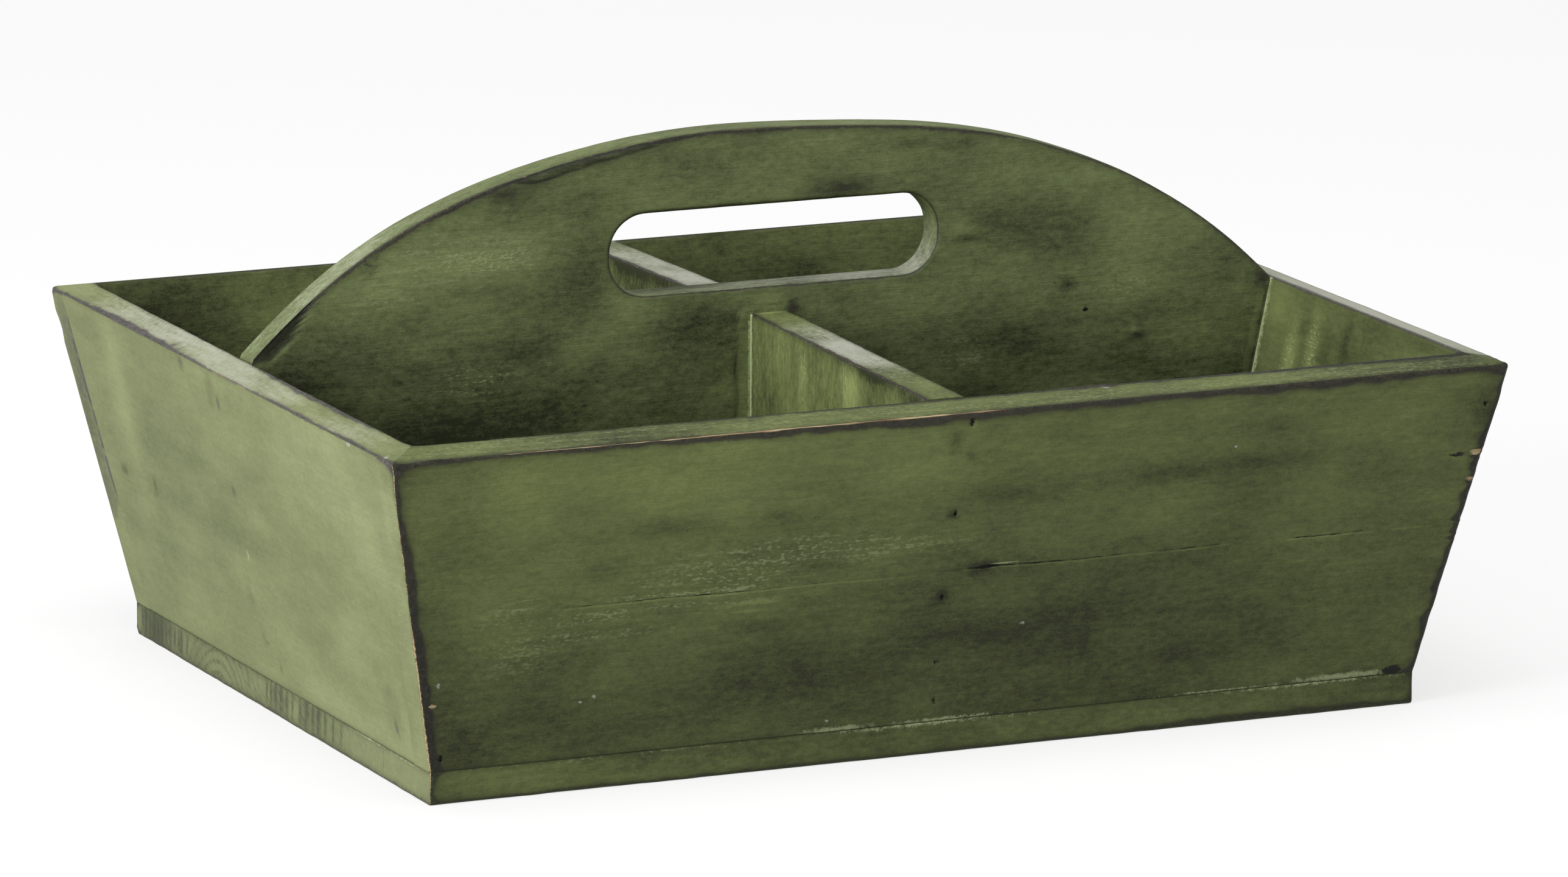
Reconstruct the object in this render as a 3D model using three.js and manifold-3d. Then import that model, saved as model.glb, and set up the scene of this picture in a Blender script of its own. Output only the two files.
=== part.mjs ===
// Divided wooden box: a nailed pine tray with four splayed walls on a flat bottom, an arched
// carrying board along the middle with a hand slot, and two cross dividers. It has four
// compartments. Millimetres, +Z up, +X along the length, -Y to the front, and the origin at
// the centre of the underside.
import * as THREE from 'three';
import { mergeVertices } from 'three/addons/utils/BufferGeometryUtils.js';
import Module from 'manifold-3d';

const wasm = await Module();
wasm.setup();

// Bottom: two boards laid edge to edge, the narrow one at the front
const bottomLength = 355;
const bottomWidth = 263;
const bottomThickness = 11;
const bottomFrontStrip = 39;

// Walls: all four lean out by the same angle and have top edges cut square to their faces
const wallThickness = 12.5;
const wallRise = 107.5;
const wallSplayDegrees = 11.8;
const lowerPlankWidth = 53.6;

// Carrying board: its arch starts level with the rim's inner edge at both ends
const handleThickness = 12;
const handleOffset = 3;
const archRise = 65.8;
const archFullness = 2.74;
const archSteps = 48;

// Hand slot
const slotLength = 120;
const slotHeight = 27.7;
const slotRise = 11.4;
const slotOffset = 1;
const slotCornerRadius = 13;
const slotCornerSteps = 6;

// Cross dividers: their tops climb a little from the walls to the carrying board
const dividerThickness = 14;
const dividerOffset = -1;
const dividerClimb = 2.4;

// Nails: sunk below the surface that they are driven through
const nailLength = 25;
const nailShankDiameter = 1.6;
const nailHeadDiameter = 2.6;
const nailHeadThickness = 0.7;
const nailTipLength = 3;
const nailSink = 1.2;
const nailSides = 8;

// Nail heights: rises are measured up from the bottom board, drops down from the outer rim.
// Asides are how far the nails stray from the middle of the board that they hold, and an
// inset is measured from the face of the end wall.
const dividerNails = { rises: [7, 20.5, 43.5], drops: [35.2, 4], asides: [1, 0.4, 0, 1.6, 4.6] };
const handleNails = { rises: [13.7, 44, 66], drops: [10.8], asides: [-1.6, -0.2, 0.6, -2] };
const cornerNails = { rises: [4.5, 38], drops: [13.5], inset: 5 };

// Nails up through the bottom: how many in each row, and how far its ends stay from the edge
const longWallNails = { count: 4, inset: 27.5 };
const endWallNails = { count: 2, inset: 56.5 };
const handleFootNails = { count: 2, inset: 87.5 };

// Clearance between pieces that touch, and round each nail
const seatGap = 0.3;
const nailGap = 0.3;

// Corners nearer than this are one corner
const weldDistance = 1e-4;

// Splay worked out: heights of the rim, and the wall's thickness measured level
const splay = THREE.MathUtils.degToRad(wallSplayDegrees);
const slope = Math.tan(splay);
const wallFoot = bottomThickness + seatGap;
const rimOuter = bottomThickness + wallRise;
const rimInner = rimOuter + wallThickness * Math.sin(splay);
const wallDepth = wallThickness / Math.cos(splay);
const wallFace = wallRise / Math.cos(splay);

// Outer half length and half width of the box at a height
const halfLengthAt = (z) => bottomLength / 2 + (z - bottomThickness) * slope;
const halfWidthAt = (z) => bottomWidth / 2 + (z - bottomThickness) * slope;

// The same for the room between the walls, less the clearance
const roomLengthAt = (z) => halfLengthAt(z) - wallDepth - seatGap;
const roomWidthAt = (z) => halfWidthAt(z) - wallDepth - seatGap;

// World axes
const X = new THREE.Vector3(1, 0, 0);
const Y = new THREE.Vector3(0, 1, 0);
const Z = new THREE.Vector3(0, 0, 1);

const paint = { roughness: 0.62, metalness: 0 };
const materials = {
  walls: new THREE.MeshStandardMaterial({ ...paint, color: 0x56653c, name: 'walls' }),
  ends: new THREE.MeshStandardMaterial({ ...paint, color: 0x8b9668, name: 'ends' }),
  inner: new THREE.MeshStandardMaterial({ ...paint, color: 0x4a5833, name: 'inner' }),
  bottom: new THREE.MeshStandardMaterial({ ...paint, color: 0x5f6b42, name: 'bottom' }),
  nail: new THREE.MeshStandardMaterial({
    color: 0x2b2926, roughness: 0.6, metalness: 0.7, name: 'nail',
  }),
};

// A closed geometry as a solid that can be cut: corners are welded and flat triangles dropped
function solid(geometry) {
  geometry.deleteAttribute('normal');
  geometry.deleteAttribute('uv');
  const welded = mergeVertices(geometry, weldDistance);
  const corners = welded.index.array;
  const triangles = [];
  for (let i = 0; i < corners.length; i += 3) {
    const [a, b, c] = corners.subarray(i, i + 3);
    if (a !== b && b !== c && c !== a) triangles.push(a, b, c);
  }
  return new wasm.Manifold(new wasm.Mesh({
    numProp: 3,
    vertProperties: new Float32Array(welded.attributes.position.array),
    triVerts: new Uint32Array(triangles),
  }));
}

// A cut solid as geometry again
function geometryOf(body) {
  const { vertProperties, triVerts } = body.getMesh();
  const geometry = new THREE.BufferGeometry();
  geometry.setAttribute('position', new THREE.BufferAttribute(vertProperties, 3));
  geometry.setIndex(new THREE.BufferAttribute(triVerts, 1));
  geometry.computeVertexNormals();
  return geometry;
}

// A straight-sided outline from a list of corners
function outline(corners) {
  return new THREE.Shape(corners.map(([across, up]) => new THREE.Vector2(across, up)));
}

// An outline drawn in Y and Z, run along X
function alongX(shape, from, to) {
  const geometry = new THREE.ExtrudeGeometry(shape, { depth: to - from, bevelEnabled: false });
  geometry.applyMatrix4(new THREE.Matrix4().makeBasis(Y, Z, X));
  geometry.translate(from, 0, 0);
  return solid(geometry);
}

// An outline drawn in X and Z, run along Y
function alongY(shape, from, to) {
  const geometry = new THREE.ExtrudeGeometry(shape, {
    depth: to - from, bevelEnabled: false, curveSegments: slotCornerSteps,
  });
  geometry.applyMatrix4(new THREE.Matrix4().makeBasis(X, Z, Y.clone().negate()));
  geometry.translate(0, to, 0);
  return solid(geometry);
}

// Section of a wall: out is +1 or -1, low and high are distances up its outer face. The
// lowest strip is cut level, where it stands on the bottom.
function wallSection(halfAt, out, low, high) {
  const outer = (distance) => {
    const z = bottomThickness + distance * Math.cos(splay);
    return [out * halfAt(z), z];
  };
  const inner = (distance) => {
    const [across, up] = outer(distance);
    return [across - out * wallThickness * Math.cos(splay), up + wallThickness * Math.sin(splay)];
  };
  const foot = [
    [out * (halfAt(wallFoot) - wallDepth), wallFoot],
    [out * halfAt(wallFoot), wallFoot],
  ];
  const start = low > 0 ? [inner(low), outer(low)] : foot;
  return outline([...start, outer(high), inner(high)]);
}

// The box's outline seen from the front: the outer faces of the end walls, and above them
// the slopes of their square-cut top edges carried on to a ridge. It trims the long walls.
function endTrim() {
  const half = halfLengthAt(rimOuter);
  return alongY(outline([
    [-halfLengthAt(wallFoot), wallFoot], [halfLengthAt(wallFoot), wallFoot],
    [half, rimOuter], [0, rimOuter + half * slope], [-half, rimOuter],
  ]), -halfWidthAt(rimInner), halfWidthAt(rimInner));
}

// The room between the long walls, which the end walls fill from one to the other
function roomBetweenLongWalls() {
  const reach = halfLengthAt(rimInner);
  return alongX(outline([
    [-roomWidthAt(wallFoot), wallFoot], [roomWidthAt(wallFoot), wallFoot],
    [roomWidthAt(rimInner), rimInner], [-roomWidthAt(rimInner), rimInner],
  ]), -reach, reach);
}

function longWallPlank(out, low, high) {
  const reach = halfLengthAt(rimInner);
  return alongX(wallSection(halfWidthAt, out, low, high), -reach, reach).intersect(endTrim());
}

function endWall(out) {
  const reach = halfWidthAt(rimInner);
  return alongY(wallSection(halfLengthAt, out, 0, wallFace), -reach, reach)
    .intersect(roomBetweenLongWalls());
}

function bottomBoard(from, to) {
  const half = bottomLength / 2;
  return alongY(outline([
    [-half, 0], [half, 0], [half, bottomThickness], [-half, bottomThickness],
  ]), from, to);
}

// Arch of the carrying board: its drop from the crown grows as a power of the distance out
function archPoint(share) {
  const drop = archRise * Math.abs(share) ** archFullness;
  return [share * roomLengthAt(rimInner), rimInner + archRise - drop];
}

function slotPath() {
  const radius = Math.min(slotCornerRadius, slotHeight / 2, slotLength / 2);
  const low = rimInner + slotRise;
  const left = slotOffset - slotLength / 2 + radius;
  const right = slotOffset + slotLength / 2 - radius;
  const path = new THREE.Path();
  path.absarc(left, low + radius, radius, -Math.PI / 2, -Math.PI, true);
  path.absarc(left, low + slotHeight - radius, radius, Math.PI, Math.PI / 2, true);
  path.absarc(right, low + slotHeight - radius, radius, Math.PI / 2, 0, true);
  path.absarc(right, low + radius, radius, 0, -Math.PI / 2, true);
  path.closePath();
  return path;
}

function handleBoard() {
  const arch = [];
  for (let i = 0; i <= archSteps; i += 1) arch.push(archPoint(1 - (2 * i) / archSteps));
  const shape = outline([
    [-roomLengthAt(wallFoot), wallFoot], [roomLengthAt(wallFoot), wallFoot], ...arch,
  ]);
  shape.holes.push(slotPath());
  return alongY(shape, handleOffset - handleThickness / 2, handleOffset + handleThickness / 2);
}

// A divider from the carrying board to a long wall
function divider(out) {
  const atHandle = handleOffset + out * (handleThickness / 2 + seatGap);
  const shape = outline([
    [atHandle, wallFoot], [out * roomWidthAt(wallFoot), wallFoot],
    [out * roomWidthAt(rimInner), rimInner], [atHandle, rimInner + dividerClimb],
  ]);
  return alongX(shape, dividerOffset - dividerThickness / 2, dividerOffset + dividerThickness / 2);
}

// Nail, and the bore that it lies in: both are turned round Y, which is the way the nail is
// driven, with 0 at the surface
function nailShape() {
  const shank = nailShankDiameter / 2;
  const head = nailHeadDiameter / 2;
  const neck = nailSink + nailHeadThickness;
  const end = nailSink + nailLength;
  const tip = end - nailTipLength;
  return turned([[0, end], [shank, tip], [shank, neck], [head, neck], [head, nailSink], [0, nailSink]]);
}

function boreShape() {
  const shank = nailShankDiameter / 2 + nailGap;
  const head = nailHeadDiameter / 2 + nailGap;
  const neck = nailSink + nailHeadThickness + nailGap;
  const end = nailSink + nailLength + nailGap;
  const mouth = -nailSink;
  return turned([[0, end], [shank, end], [shank, neck], [head, neck], [head, mouth], [0, mouth]]);
}

// LatheGeometry faces out when its profile climbs, and these profiles are drawn downwards
function turned(profile) {
  const points = profile.map(([radius, along]) => new THREE.Vector2(radius, along));
  return new THREE.LatheGeometry(points.reverse(), nailSides);
}

const heights = ({ rises, drops }) => [
  ...rises.map((rise) => bottomThickness + rise),
  ...drops.map((drop) => rimOuter - drop),
];

// Evenly spaced places along a row that stops short of both edges
function row({ count, inset }, half) {
  const reach = half - inset;
  return Array.from({ length: count }, (_, i) => reach * ((2 * i) / (count - 1) - 1));
}

// Every nail: its name, the point where it enters and the way it is driven
function nailPlaces() {
  const places = [];
  const add = (name, at, along) => places.push({
    name, at: new THREE.Vector3(...at), along: new THREE.Vector3(...along),
  });
  const longWalls = { front: -1, back: 1 };
  const endWalls = { left: -1, right: 1 };
  for (const [wall, out] of Object.entries(longWalls)) {
    heights(dividerNails).forEach((z, i) => {
      const x = dividerOffset + dividerNails.asides[i];
      add(`nail_${wall}_divider_${i + 1}`, [x, out * halfWidthAt(z), z], [0, -out, 0]);
    });
    for (const [end, side] of Object.entries(endWalls)) {
      heights(cornerNails).forEach((z, i) => {
        const x = side * (halfLengthAt(z) - cornerNails.inset);
        add(`nail_${wall}_${end}_corner_${i + 1}`, [x, out * halfWidthAt(z), z], [0, -out, 0]);
      });
    }
    row(longWallNails, bottomLength / 2).forEach((x, i) => {
      const y = out * (bottomWidth / 2 - wallDepth / 2);
      add(`nail_bottom_${wall}_${i + 1}`, [x, y, 0], [0, 0, 1]);
    });
  }
  for (const [end, side] of Object.entries(endWalls)) {
    heights(handleNails).forEach((z, i) => {
      const y = handleOffset + handleNails.asides[i];
      add(`nail_handle_${end}_${i + 1}`, [side * halfLengthAt(z), y, z], [-side, 0, 0]);
    });
    row(endWallNails, bottomWidth / 2).forEach((y, i) => {
      const x = side * (bottomLength / 2 - wallDepth / 2);
      add(`nail_bottom_${end}_${i + 1}`, [x, y, 0], [0, 0, 1]);
    });
  }
  row(handleFootNails, bottomLength / 2).forEach((x, i) => {
    add(`nail_bottom_handle_${i + 1}`, [x, handleOffset, 0], [0, 0, 1]);
  });
  return places;
}

const places = nailPlaces();

// All the bores as one solid, which is cut from every board
const bores = places.map(({ at, along }) => {
  const geometry = boreShape();
  geometry.applyQuaternion(new THREE.Quaternion().setFromUnitVectors(Y, along));
  geometry.translate(at.x, at.y, at.z);
  return solid(geometry);
}).reduce((all, bore) => all.add(bore));

function board(name, body, material) {
  const mesh = new THREE.Mesh(geometryOf(body.subtract(bores)), material);
  mesh.name = name;
  return mesh;
}

function bottom() {
  const group = new THREE.Group();
  const edge = bottomWidth / 2;
  const joint = bottomFrontStrip - edge;
  group.add(board('bottom_board_narrow', bottomBoard(-edge, joint), materials.bottom));
  group.add(board('bottom_board_wide', bottomBoard(joint + seatGap, edge), materials.bottom));
  return group;
}

function walls() {
  const group = new THREE.Group();
  for (const [name, out] of [['front', -1], ['back', 1]]) {
    const lower = longWallPlank(out, 0, lowerPlankWidth);
    const upper = longWallPlank(out, lowerPlankWidth + seatGap, wallFace);
    group.add(board(`${name}_wall_lower_plank`, lower, materials.walls));
    group.add(board(`${name}_wall_upper_plank`, upper, materials.walls));
  }
  group.add(board('left_end_wall', endWall(-1), materials.ends));
  group.add(board('right_end_wall', endWall(1), materials.ends));
  return group;
}

function partitions() {
  const group = new THREE.Group();
  group.add(board('handle_board', handleBoard(), materials.inner));
  group.add(board('front_divider', divider(-1), materials.inner));
  group.add(board('back_divider', divider(1), materials.inner));
  return group;
}

function nails() {
  const group = new THREE.Group();
  const geometry = geometryOf(solid(nailShape()));
  for (const { name, at, along } of places) {
    const mesh = new THREE.Mesh(geometry, materials.nail);
    mesh.name = name;
    mesh.position.copy(at);
    mesh.quaternion.setFromUnitVectors(Y, along);
    group.add(mesh);
  }
  return group;
}

const box = new THREE.Group();
box.name = 'divided_wooden_box';
box.add(bottom(), walls(), partitions(), nails());

export default box;
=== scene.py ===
import math
from itertools import combinations
from typing import NamedTuple

import bmesh
import bpy
from mathutils import Matrix, Vector, noise


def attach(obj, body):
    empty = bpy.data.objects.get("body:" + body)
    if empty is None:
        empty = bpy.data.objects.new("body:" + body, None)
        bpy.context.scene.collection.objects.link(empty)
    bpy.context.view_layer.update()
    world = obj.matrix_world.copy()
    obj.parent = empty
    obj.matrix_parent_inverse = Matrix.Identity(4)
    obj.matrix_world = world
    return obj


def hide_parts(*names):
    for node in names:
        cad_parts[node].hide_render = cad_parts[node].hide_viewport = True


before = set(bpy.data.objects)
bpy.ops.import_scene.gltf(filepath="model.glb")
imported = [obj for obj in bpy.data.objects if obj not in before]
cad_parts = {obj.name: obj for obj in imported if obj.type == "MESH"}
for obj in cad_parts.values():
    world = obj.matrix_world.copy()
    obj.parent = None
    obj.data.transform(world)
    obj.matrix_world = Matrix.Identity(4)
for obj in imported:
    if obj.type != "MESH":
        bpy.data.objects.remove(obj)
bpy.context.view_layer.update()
scene = bpy.context.scene
scene.view_settings.view_transform = "Standard"


# Bottom boards
# Two flat pine boards laid edge to edge, 355 mm long and 11 mm thick. They are nailed up into
# the walls and brushed with green paint, and their lower edges are rubbed through to dark wax.
# All sizes here and below are in millimetres until a board is settled in its place.
BOTTOM_HALF_LENGTH = 177.5
BOTTOM_HALF_WIDTH = 131.5
BOTTOM_THICKNESS = 11
BOTTOM_JOINT = -92.5

MILLIMETRE = 0.001
ARRIS_STEPS = (0, 0.3, 0.7, 1.2, 1.9, 2.9, 4.2, 6)
THIN_STEPS = (0, 0.35, 0.8, 1.4, 2.3)
CLOSEST_ROWS = 0.12


def lines(low, high, step, close=(), ends=ARRIS_STEPS):
    """Places for rows of vertices: crowded at both ends and round the places in close."""
    places = [low + s for s in ends] + [high - s for s in ends]
    for middle, reach, fine in close:
        places += [middle - reach + fine * i for i in range(round(2 * reach / fine) + 1)]
    filled = []
    for place in sorted(p for p in places if low <= p <= high):
        if not filled:
            filled.append(place)
        gap = place - filled[-1]
        if gap > CLOSEST_ROWS:
            count = max(1, round(gap / step))
            start = filled[-1]
            filled += [start + gap * (i + 1) / count for i in range(count)]
    filled[-1] = high
    return filled


def block(columns, rows, layers, place, ring=False):
    """A closed block with a vertex wherever a column, a row or a layer meets its skin.

    In a ring the last column is welded to the first, and the rows run from the hole outwards.
    """
    bm = bmesh.new()
    wide, high, deep = len(columns) - 1, len(rows) - 1, len(layers) - 1
    bmesh.ops.create_grid(bm, x_segments=wide, y_segments=high, size=1)
    column_of, row_of = (bm.verts.layers.int.new(n) for n in ("column", "row"))
    for v in bm.verts:
        v[column_of] = round((v.co.x + 1) / 2 * wide)
        v[row_of] = round((v.co.y + 1) / 2 * high)
    if ring:
        first = {v[row_of]: v for v in bm.verts if v[column_of] == 0}
        last = {v: first[v[row_of]] for v in bm.verts if v[column_of] == wide}
        bmesh.ops.weld_verts(bm, targetmap=last)
    grown = bmesh.ops.extrude_face_region(bm, geom=bm.faces[:])["geom"]
    lid = [g for g in grown if isinstance(g, bmesh.types.BMVert)]
    bmesh.ops.translate(bm, vec=(0, 0, 1), verts=lid)
    posts = [e for e in bm.edges if e.verts[0].co.z != e.verts[1].co.z]
    bmesh.ops.subdivide_edges(bm, edges=posts, cuts=deep - 1, use_grid_fill=True)
    for v in bm.verts:
        v.co = place(columns[v[column_of]], rows[v[row_of]], layers[round(v.co.z * deep)])
    for helper in ("column", "row"):
        bm.verts.layers.int.remove(bm.verts.layers.int[helper])
    bmesh.ops.recalc_face_normals(bm, faces=bm.faces)
    return bm


class Mark(NamedTuple):
    """A place on a side, its reach in X, Y and Z (0 for all the way), and what it does there."""
    side: str
    at: Vector
    reach: tuple
    skin: str
    amount: float


def marks_on(side, at, along, rows):
    """Marks on a side that runs along an axis. Each row gives a place along it and its height,
    the reach along it and upwards, the skin and the amount."""
    return tuple((side, at(place, z), (wide, 0, high) if along == "X" else (0, wide, high), skin, amount)
                 for place, z, wide, high, skin, amount in rows)


class Wear(NamedTuple):
    """How the arris between two sides is worn: its radius, the width of the dark wax on the
    first side and on the second, and the width of the line where the wood is bare."""
    radius: float
    near: float = 0
    far: float = 0
    bare: float = 0


PLAIN = Wear(0.8, 0.5, 0.5)
JOINT, FLUSH = Wear(0.12), Wear(0)
PAINTED = ("tone", "chalk", "sawn", "scuff", "second")
CUT = ("wax", "bare", "fill", "crack")


def flat(point, normal):
    """A flat side: it gives the depth of a point under it, and the way that it faces."""
    point, normal = Vector(point), Vector(normal).normalized()
    return lambda p: ((point - p).dot(normal), normal)


def eased(points, at):
    """The value at a place, easing from each of the points to the next."""
    if at <= points[0][0]:
        return points[0][1]
    for (a, low), (b, high) in zip(points, points[1:]):
        if at <= b:
            return low + (high - low) * (1 - math.cos(math.pi * (at - a) / (b - a))) / 2
    return points[-1][1]


def merged(a, b, soft=6):
    """The greater of two depths, with the corner where they meet rounded off."""
    return max(a, b) + max(0, 1 - abs(a - b) / soft) ** 2 * soft / 4


# the largest mark that needs a finer mesh, and how far from it each cut reaches
SMALL_MARK = 3
CUT_REACHES = (4.5, 3.2, 2.2)


def finer(bm, marks):
    """Cuts the mesh finer round each small mark."""
    for mark in marks:
        if max(mark.reach) > SMALL_MARK or sum(r > 0 for r in mark.reach) < 2:
            continue
        around = [v for v in bm.verts if (v.co - mark.at).length < CUT_REACHES[0]]
        for reach in CUT_REACHES:
            near = {v for v in around if v.is_valid and (v.co - mark.at).length < reach}
            edges = {e for v in near for e in v.link_edges if e.other_vert(v) in near}
            cut = bmesh.ops.subdivide_edges(bm, edges=list(edges), cuts=1, use_grid_fill=True)
            around += [g for g in cut["geom_inner"] if isinstance(g, bmesh.types.BMVert)]


# lengths over which wear swells and shrinks, how deep under a second side it still shows, how
# alike two sides may face and still count as one, and where a mark's share has faded out
SLOW_WAVE, QUICK_WAVE = 27, 6
DEEPEST_BAND = 12
SAME_WAY = 0.6
FADED_OUT = 6


def weather(bm, sides, arrises, marks=(), carve=None, second=()):
    """Rubs the arrises round and stores on each vertex how its skin has worn.

    tone, chalk, sawn and scuff are shares of paler paint, of raised grain, of saw marks and of
    whitish scuffs, and second is the share of the second paint, for the sides named there. A tone
    below zero is darker paint, and in some marks painted shade, and the scuffs at the front left
    corner's tip are partly a painted highlight. wax, bare, fill and crack say by how many
    millimetres a vertex lies inside dark wax, bare wood, thick pale filler or an open crack, which
    is painted near black with dirt and painted shade. A hole is a sunk nail.
    """
    marks = [Mark(*m) for m in marks]
    finer(bm, marks)
    skins = {n: bm.verts.layers.float.new(n) for n in PAINTED + CUT}
    on_side = {name: [m for m in marks if m.side == name] for name in sides}
    for v in bm.verts:
        start, p = v.co.copy(), v.co.copy()
        near = sorted(((*side(p), name) for name, side in sides.items()), key=lambda s: round(s[0], 2))
        near = near[:5]
        normal, name = near[0][1:]
        found = dict.fromkeys(PAINTED, 0.0) | dict.fromkeys(CUT, -9.0)
        found["second"] = float(name.startswith(second))
        slow, quick = noise.noise(p / SLOW_WAVE), noise.noise(p / QUICK_WAVE)
        rounded = dict.fromkeys((s[2] for s in near), 0)
        for (_, facing, first), (depth, other_facing, other) in combinations(near, 2):
            if depth > DEEPEST_BAND or facing.dot(other_facing) > SAME_WAY:
                continue
            in_order = (first, other) in arrises
            worn = arrises.get((first, other) if in_order else (other, first), PLAIN)
            worn = worn(p) if callable(worn) else worn
            radius = worn.radius * (1 + (0.3 * slow + 0.3 * quick if worn.radius > 0.3 else 0))
            if depth < radius:
                rounded[first] = max(rounded[first], radius)
                rounded[other] = max(rounded[other], radius)
            band = worn.near if in_order else worn.far
            if first == name and band:
                found["wax"] = merged(found["wax"], band * (1 + 0.3 * slow + 0.35 * quick) - depth)
            if first == name and worn.bare:
                found["bare"] = max(found["bare"], worn.bare * (1 + 0.8 * slow + 0.6 * quick) - depth)
        sunk, reach, taken = Vector(), 0, []
        for depth, facing, side in near:
            if rounded[side] and all(facing.dot(t) < SAME_WAY for t in taken):
                sunk += (rounded[side] - depth) * facing
                reach = max(reach, rounded[side])
                taken.append(facing)
        if sunk.length > reach:
            p += sunk * (reach / sunk.length - 1)
        for mark in on_side[name]:
            share = sum(((start[i] - mark.at[i]) / mark.reach[i]) ** 2 for i in range(3) if mark.reach[i])
            if share > FADED_OUT:
                continue
            if mark.skin in PAINTED:
                found[mark.skin] += mark.amount * math.exp(-share)
            elif mark.skin in CUT:
                found[mark.skin] = max(found[mark.skin], mark.amount * (1 - math.sqrt(share)))
            else:
                across = math.sqrt(share) * (1 + 0.3 * noise.noise(start * 1.7))
                p -= normal * mark.amount * max(0.0, min(1.0, (1.25 - across) / 0.45))
                found["crack"] = max(found["crack"], (1.1 - across) * mark.reach[2])
        if carve:
            sink, more = carve(start, name)
            p -= normal * sink
            for skin, value in more.items():
                found[skin] = found[skin] + value if skin in PAINTED else max(found[skin], value)
        v.co = p
        for skin, value in found.items():
            v[skins[skin]] = value


SHARP = math.radians(55)


def settle(bm, name, nodes, slot, *materials):
    """Makes the finished board an object in metres, in place of its CAD nodes."""
    for edge in bm.edges:
        edge.smooth = edge.calc_face_angle(0) < SHARP
    bmesh.ops.scale(bm, vec=(MILLIMETRE,) * 3, verts=bm.verts)
    mesh = bpy.data.meshes.new(name)
    bm.to_mesh(mesh)
    bm.free()
    mesh.shade_smooth()
    for material in materials:
        mesh.materials.append(material)
    board = bpy.data.objects.new(name, mesh)
    scene.collection.objects.link(board)
    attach(board, "root")
    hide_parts(*nodes)
    return board


class Wire:
    """One socket of a material. Sums and products of wires add their Math nodes."""

    def __init__(self, tree, socket=None):
        self.tree, self.socket = tree, socket

    def node(self, kind, settings=None, inputs=None, output=0):
        made = self.tree.nodes.new(kind)
        for key, value in (settings or {}).items():
            setattr(made, key, value)
        for key, value in (inputs or {}).items():
            if isinstance(value, Wire):
                self.tree.links.new(value.socket, made.inputs[key])
            else:
                made.inputs[key].default_value = value
        return Wire(self.tree, made.outputs[output])

    def maths(self, operation, *values):
        return self.node("ShaderNodeMath", {"operation": operation}, dict(enumerate(values)))

    def __add__(self, other):
        return self.maths("ADD", self, other)

    def __sub__(self, other):
        return self.maths("SUBTRACT", self, other)

    def __rsub__(self, other):
        return self.maths("SUBTRACT", other, self)

    def __mul__(self, other):
        return self.maths("MULTIPLY", self, other)

    __radd__, __rmul__ = __add__, __mul__

    def fade(self, low, high):
        """0 below low, 1 above high, and a smooth step between."""
        return self.node("ShaderNodeMapRange", {"interpolation_type": "SMOOTHSTEP"},
                         {"Value": self, "From Min": low, "From Max": high})

    def blend(self, under, over):
        """One colour under another, whose share is this value."""
        return self.node("ShaderNodeMix", {"data_type": "RGBA"}, {0: self, 6: under, 7: over}, 2)


def rgb(red, green, blue):
    """A colour as a screen shows it, 0 to 255, in the numbers that a material takes."""
    return (*(((c / 255 + 0.055) / 1.055) ** 2.4 for c in (red, green, blue)), 1)


# near black in open cracks, gaps and sunk nail holes: dirt and painted shade in their depths
CRACK_DIRT_AND_SHADE = rgb(20, 19, 14)
BARE_PINE = rgb(122, 92, 64), rgb(198, 178, 140)
FILLER = rgb(160, 171, 128)
RAISED = rgb(158, 165, 122)
# whitish scuffs, and at the front left corner's tip partly a painted highlight
SCUFF_AND_HIGHLIGHT = rgb(180, 181, 166)
WAX = rgb(30, 29, 25), rgb(70, 66, 57)
WALL_GREENS = rgb(50, 54, 33), rgb(142, 154, 95)
END_GREENS = rgb(90, 98, 59), rgb(158, 165, 118)
DULL_SHEEN = 0.22


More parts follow.
